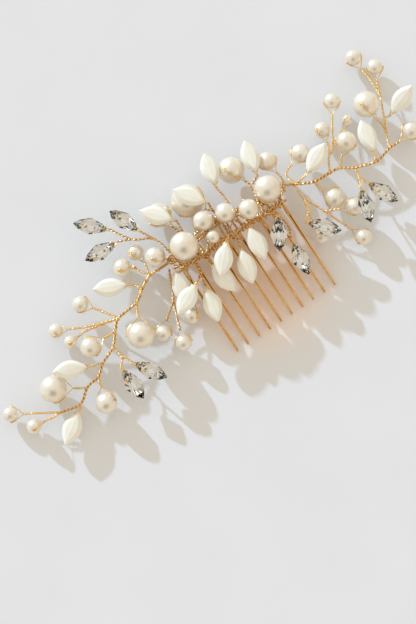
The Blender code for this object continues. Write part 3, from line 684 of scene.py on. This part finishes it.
comb = {
    "teeth": 10,
    "pitch": 4.85 * mm,
    "length": 36.5 * mm,
    "wire": 0.62 * mm,
    "legShares": (0.1, 0.3, 0.5, 0.7, 0.9, 1.0),  # where a leg has its points
    "legStep": 0.95 * mm,  # between the middles of a tooth's two legs, at the spine
    "tipStep": 0.5 * mm,  # and at the tip
    "wrap": 1.38 * mm,  # bend radius over the spine
    "wrapFrom": -60,  # degrees, from behind the spine
    "wrapTo": 165,  # over its top and down in front
    "wrapStep": 15,
    "spine": 1.2 * mm,
    "creviceShade": 0.36 * mm,  # the dark strip of painted shade deep between the legs
    "swing": 0.12 * mm,  # how far a tip may lean sideways
    "taper": 2.5 * mm,  # the tip thins over this length
    "tip": 0.72,  # to this share of the wire
}


def toothLeg(x, side, leg):  # from behind the spine, over its top and down to just before the tip
    points = []
    for degrees in range(comb["wrapFrom"], comb["wrapTo"] + 1, comb["wrapStep"]):
        angle = math.radians(degrees)
        points.append(Vector((x + side * comb["legStep"] / 2,
                              spineMiddle.y + comb["wrap"] * math.cos(angle),
                              spineMiddle.z + comb["wrap"] * math.sin(angle))))
    closing = Vector((side * (comb["tipStep"] - comb["legStep"]) / 2, 0, 0))
    ending = leg - leg.normalized() * comb["wire"] / 2
    return points + [points[-1] + (ending + closing) * share for share in comb["legShares"]]


def addTeeth():
    startHeight = comb["wrap"] * math.sin(math.radians(comb["wrapTo"])) + spineMiddle.z
    drop = startHeight - comb["wire"] / 2
    length = comb["length"] - comb["wrap"]
    reach = math.sqrt(length ** 2 - drop ** 2)
    darkPoints = (-7, -5, -3, -1)  # of a leg, from its top to its end
    chance = random.Random("teeth")
    route = []
    dark = []
    for i in range(comb["teeth"]):
        x = spineMiddle.x + (i - (comb["teeth"] - 1) / 2) * comb["pitch"]
        swing = chance.uniform(-comb["swing"], comb["swing"])
        leg = Vector((swing, -reach, -drop))
        left = toothLeg(x, -1, leg)
        right = toothLeg(x, 1, leg)
        middle = (left[-1] + right[-1]) / 2
        half = comb["tipStep"] / 2
        bend = [middle + leg.normalized() * half * math.cos(a) + Vector((half * math.sin(a), 0, 0))
                for a in (-1.2, -0.6, 0.0, 0.6, 1.2)]  # radians round the tip
        route += left + bend + right[::-1]
        # a thin dark strip of painted shade sits deep between each tooth's legs
        sunk = Vector((0, 0, -comb["creviceShade"] / 3))
        dark.append([(left[k] + right[k]) / 2 + sunk for k in darkPoints])
    tipY = spineMiddle.y - reach - comb["wrap"]

    def thinning(point):
        left = (point.y - tipY) / comb["taper"]
        return comb["tip"] + (1 - comb["tip"]) * min(1.0, max(0.0, left))

    # the dark strips paint the shade between the legs; they are no part of the plating
    crevices = wireMesh("comb_tooth_shade_strips", dark, comb["creviceShade"], 6, shadeStrip)
    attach(crevices, "comb")
    teeth = wireMesh("comb_teeth", [route], comb["wire"], 12, combGold, thinning)
    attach(teeth, "comb")
    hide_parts("tooth_wire")


def addSpine():
    ends = [Vector((x, spineMiddle.y, spineMiddle.z)) for x in (spineLow.x, spineHigh.x)]
    spine = wireMesh("comb_spine_rod", [ends], comb["spine"], 16, combGold)
    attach(spine, "comb")
    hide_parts("comb_spine")


trunk = {
    # x and y from the spine's middle, and height above it, in millimetres, from left to right
    "ridge": [(-23, 5.6, 0.3), (-17, 6.6, 0.7), (-10, 7.6, 0.4), (-3, 7.9, 0.8), (4, 7.4, 0.6),
              (11, 6.0, 0.8), (18, 5.2, 0.4), (23, 4.8, 0.2)],
    # shift across the ridge and rise, in millimetres
    "ropes": [(0.0, 0.0, "middle"), (0.9, -0.5, "back"), (-0.9, -0.3, "front"), (-1.9, 0.5, "loose")],
    "rope": 0.28 * mm,  # from a rope's middle to each of its strands'
    "strands": 3,
    "looseness": 1.2,  # a trunk rope's twist over a stem's
    "endInset": 1.2 * mm,  # from the spine's end to the rope that lies on it
    # place along the spine and size of the wire ends that are left curled, in millimetres
    "curls": ((-20.5, 1.1), (-5.5, 0.9), (5.2, 1.5), (10.8, 1.2), (22.0, 0.9)),
    "curlPoints": 24,
    "curlStep": 0.3,
    "lashFrom": 0.2,  # the lashing crosses each gap from this share of it
    "lashOver": 0.6,  # over this share
    "lashTurns": 2,  # in each gap
    "lashWide": 1.1 * mm,  # half its width
    "lashHigh": 2.1 * mm,  # half its height
    "lashRise": 1.25 * mm,  # its middle above the spine's
    "lashSteps": 20,  # points in a turn
}


def trunkLine(shift, rise, seed):  # from arm to arm above the spine, wandering a little
    chance = random.Random(seed)
    points = [leftArm["root"] - outwardOf(leftArm) * neck["reach"]]
    for x, y, z in trunk["ridge"]:
        points.append(spineMiddle + Vector((x + chance.uniform(-1.2, 1.2),
                                            y + shift + chance.uniform(-0.6, 0.6),
                                            z + rise + chance.uniform(-0.4, 0.4))) * mm)
    return points + [rightArm["root"] - outwardOf(rightArm) * neck["reach"]]


def ridgeAt(x):  # where the trunk passes over a tooth
    for (x0, y0, z0), (x1, y1, z1) in zip(trunk["ridge"], trunk["ridge"][1:]):
        if x0 <= x <= x1:
            share = (x - x0) / (x1 - x0)
            return Vector((x, y0 + (y1 - y0) * share, z0 + (z1 - z0) * share))


def tie(points):  # the line of a tie, from points in millimetres from the spine's middle
    return smoothPath([spineMiddle + point * mm for point in points], wire["step"])


def addTrunk(strands):
    pair = (2, wire["strand"] * wire["slack"], wire["twist"])
    for shift, rise, seed in trunk["ropes"]:
        line = smoothPath(trunkLine(shift, rise, seed), wire["step"])
        strands += ropeStrands(line, up, trunk["strands"], trunk["rope"],
                               wire["stemTwist"] * trunk["looseness"])
    chance = random.Random("ties")
    for i in range(comb["teeth"]):  # a twisted tie from the trunk over each tooth's top and down it
        x = (i - (comb["teeth"] - 1) / 2) * comb["pitch"] / mm
        line = tie([ridgeAt(x) + Vector((chance.uniform(-1.5, 1.5), 0.6, 0.6)),
                    Vector((x + chance.uniform(-0.4, 0.4), 3.6, 1.9)),
                    Vector((x + chance.uniform(-0.3, 0.3), -0.3, 2.05)),
                    Vector((x, -4.2 + chance.uniform(-1.2, 0.6), 0.75))])
        strands += ropeStrands(line, up, trunk["strands"], trunk["rope"] * 0.95,
                               wire["stemTwist"] * chance.uniform(0.9, 1.1))
    for i in range(comb["teeth"] - 1):  # and a slanting one between them
        x = (i + 1 - comb["teeth"] / 2) * comb["pitch"] / mm
        slant = chance.choice((-1, 1)) * chance.uniform(1.0, 2.6)
        line = tie([ridgeAt(x) + Vector((slant, 0.4, 1.0)), Vector((x + slant * 0.4, 3.2, 2.9)),
                    Vector((x - slant * 0.4, 0.4, 3.4)), Vector((x - slant * 0.7, -1.9, 1.9))])
        strands += ropeStrands(line, up, *pair)
    for x, size in trunk["curls"]:
        top = spineMiddle + ridgeAt(x) * mm
        angles = [trunk["curlStep"] * i for i in range(trunk["curlPoints"])]
        ring = [top + Vector((0.4 * math.sin(a), 1.1 - math.cos(a), 0.8 + 0.15 * a)) * size * mm
                for a in angles]
        strands.append(smoothPath(ring, wire["step"]))
    start = Vector((spineLow.x + trunk["endInset"], spineMiddle.y, spineMiddle.z + trunkRise))
    end = Vector((spineHigh.x - trunk["endInset"], spineMiddle.y, spineMiddle.z + trunkRise))
    strands += ropeStrands(smoothPath([start, (start + end) / 2, end], wire["step"]), up, *pair)
    addWires("centre_vine_wires", strands, "comb", "centre_vine_wire", wire["strand"])


def addBinding():
    # thin wire lashed round the spine, a couple of uneven turns in each gap between teeth
    chance = random.Random("binding")
    gaps = comb["teeth"] - 1
    coil = []
    for i in range(gaps * trunk["lashTurns"] * trunk["lashSteps"] + 1):
        turn = i / trunk["lashSteps"]
        angle = 2 * math.pi * turn
        gap = turn / trunk["lashTurns"]
        inGap = gap - math.floor(gap)
        share = trunk["lashFrom"] + trunk["lashOver"] * inGap
        x = (math.floor(gap) + share - gaps / 2) * comb["pitch"]
        loose = 1 + 0.06 * math.sin(1.7 * turn) + chance.uniform(-0.01, 0.01)
        coil.append(spineMiddle + Vector((x, trunk["lashWide"] * loose * math.sin(angle),
                                          trunk["lashRise"] + trunk["lashHigh"] * loose * math.cos(angle))))
    addWires("lashing_wire", [coil], "comb", "binding_wire", wire["strand"])


addTrunk(hangBeads(centreVine))
print("centre vine made")
addTeeth()
addSpine()
addBinding()
print("comb made")


def paintWarmBounce(material, centre, reach, hexColour):
    # painted light: a warm cast of light bounced from the gold above, painted into the board's colour round a
    # point
    tree = material.node_tree
    shader = tree.nodes["Principled BSDF"]
    plain = shader.inputs["Base Color"].links[0].from_socket
    place = addNode(tree, "ShaderNodeTexCoord")
    away = addNode(tree, "ShaderNodeVectorMath", {0: place.outputs["Object"], 1: centre},
                   operation="DISTANCE")
    near = addNode(tree, "ShaderNodeMapRange", {"Value": away.outputs["Value"], "From Min": reach[0],
                   "From Max": reach[1], "To Min": 1.0, "To Max": 0.0}, interpolation_type="SMOOTHSTEP")
    cast = addNode(tree, "ShaderNodeMix", {0: near.outputs["Result"], 6: plain, 7: linear(hexColour)},
                   data_type="RGBA")
    tree.links.new(cast.outputs[2], shader.inputs["Base Color"])


# matt white painted board: pale, faintly mottled
board = surface("mattPaintedBoard", {
    "colours": ("#E7E6E5", "#E9E8E7"), "cloud": 40 * mm, "marks": 2.0 * mm,
    "roughness": (0.8, 0.9), "bump": 0.05, "sockets": {}})
# black felt, which gives glossy things something dark to reflect
felt = surface("blackFelt", {
    "colours": ("#0B0A0A", "#1B1918"), "cloud": 8 * mm, "marks": 1.0 * mm,
    "roughness": (0.9, 1.0), "bump": 0.2, "sockets": {}})
# tan paper, which warms the lower rims of glossy things
tan = surface("tanPaper", {
    "colours": ("#E0B98C", "#E9C69B"), "cloud": 20 * mm, "marks": 1.0 * mm,
    "roughness": (0.8, 0.9), "bump": 0.1, "sockets": {}})
# lit diffusing cloth: the broad soft glint on pearls, wire and facets
glow = surface("litDiffuser", {
    "colours": ("#FFFDF8", "#FFFFFF"), "cloud": 50 * mm, "marks": 2.0 * mm,
    "roughness": (0.8, 0.9), "bump": 0.05,
    "sockets": {"Emission Color": (1.0, 0.98, 0.95, 1.0), "Emission Strength": 2.6}})


def addCard(name, place, facing, width, height, material):
    shape = bmesh.new()
    bmesh.ops.create_grid(shape, x_segments=1, y_segments=1, size=0.5)
    bmesh.ops.scale(shape, vec=(width, height, 1.0), verts=shape.verts)
    turn = facing.to_track_quat("Z", "Y").to_matrix().to_4x4()
    bmesh.ops.transform(shape, matrix=Matrix.Translation(place) @ turn, verts=shape.verts)
    card = finishPiece(name, shape, material, smoothAngle=0)
    return card


studio = {
    "floor": 6.0,  # metres
    "floorHeight": -1.5 * mm,
    "bounceFrom": Vector((0.0, -16.0, 0.0)) * mm,  # the middle of the painted warm bounce light, from the spine's
    "bounceReach": (10 * mm, 40 * mm),  # full up to here, gone from here
    "fillColour": (0.80, 0.76, 0.69),
    "fillStrength": 1.0,
    "sunColour": (0.54, 0.74, 1.0),
    "sunStrength": 2.6,
    "sunAngle": 1.3,  # degrees across, which sets how soft the shadows' edges are
    "sunFrom": Vector((-0.123, 0.917, 0.335)),
    "cards": [  # name, direction, distance, width, height, material
        ("camera_flag", Vector((-0.47, -0.56, 0.69)), 0.9, 0.72, 0.72, felt),
        ("right_tan", Vector((0.9, -0.35, 0.3)), 0.9, 0.8, 0.4, tan),
        ("low_tan", Vector((0.19, -0.98, 0.22)), 0.9, 1.2, 0.35, tan),
        ("softbox", Vector((-0.12, 0.94, 0.31)), 1.2, 0.5, 0.34, glow),
    ],
}

# F8DFCA is painted bounce light from the gold, laid on the board near the comb
paintWarmBounce(board, spineMiddle + studio["bounceFrom"], studio["bounceReach"], "#F8DFCA")
addCard("floor", up * studio["floorHeight"], up, studio["floor"], studio["floor"], board)
for name, direction, distance, width, height, material in studio["cards"]:
    card = addCard(name, direction.normalized() * distance, -direction, width, height, material)
    card.visible_camera = False
    card.visible_diffuse = False
    card.visible_shadow = False

world = bpy.data.worlds.new("studio")
world.use_nodes = True
background = world.node_tree.nodes["Background"]
background.inputs["Color"].default_value = (*studio["fillColour"], 1.0)
background.inputs["Strength"].default_value = studio["fillStrength"]
bpy.context.scene.world = world

sun = bpy.data.lights.new("key", "SUN")
sun.color = studio["sunColour"]
sun.energy = studio["sunStrength"]
sun.angle = math.radians(studio["sunAngle"])
sunObject = bpy.data.objects.new("key", sun)
sunObject.rotation_mode = "QUATERNION"
sunObject.rotation_quaternion = studio["sunFrom"].to_track_quat("Z", "Y")
bpy.context.scene.collection.objects.link(sunObject)

lens = {"place": Vector((-77.29, -111.4, 644.81)) * mm, "right": Vector((0.824, -0.566, 0.0)),
        "back": Vector((-0.0983, -0.1431, 0.9848)), "length": 102.75, "sensor": 36.0}
camera = bpy.data.cameras.new("camera")
camera.lens = lens["length"]
camera.sensor_width = lens["sensor"]
camera.clip_start = 10 * mm
camera.clip_end = 20.0
cameraObject = bpy.data.objects.new("camera", camera)
right = lens["right"].normalized()
back = (lens["back"] - right * lens["back"].dot(right)).normalized()
turn = Matrix((right, back.cross(right), back)).transposed().to_4x4()
cameraObject.matrix_world = Matrix.Translation(lens["place"]) @ turn
bpy.context.scene.collection.objects.link(cameraObject)
bpy.context.scene.camera = cameraObject
bpy.context.scene.view_settings.view_transform = "Standard"

print("scene made")
